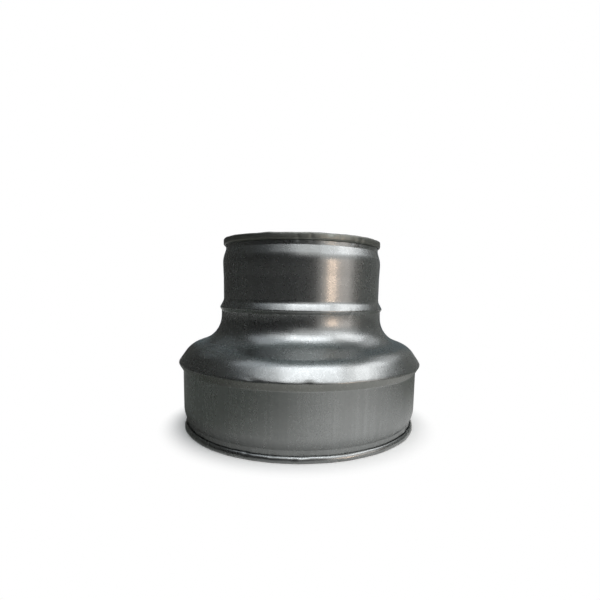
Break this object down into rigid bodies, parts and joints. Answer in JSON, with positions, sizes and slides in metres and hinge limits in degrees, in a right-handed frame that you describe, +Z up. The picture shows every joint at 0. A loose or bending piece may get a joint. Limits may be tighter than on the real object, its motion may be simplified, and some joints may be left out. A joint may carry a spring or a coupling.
{
  "type": "duct reducer",
  "caption": "Round pressed-steel duct reducer: a wide spigot and a narrow one joined by a bell-shaped shoulder, with folded hems, a stop ridge and a stop bead.",
  "frame": {"origin": "centre of the large end, on the plane that its hem stands on", "axes": "+Z up along the duct's axis, from the large end to the small end; X and Y are free, because the part is round"},
  "size_m": [0.154, 0.154, 0.1162],
  "materials": {
    "galvanised_steel": "satin zinc coating with a fine spangle"
  },
  "bodies": {
    "root": {"reducer_shell": "galvanised_steel"}
  },
  "joints": []
}
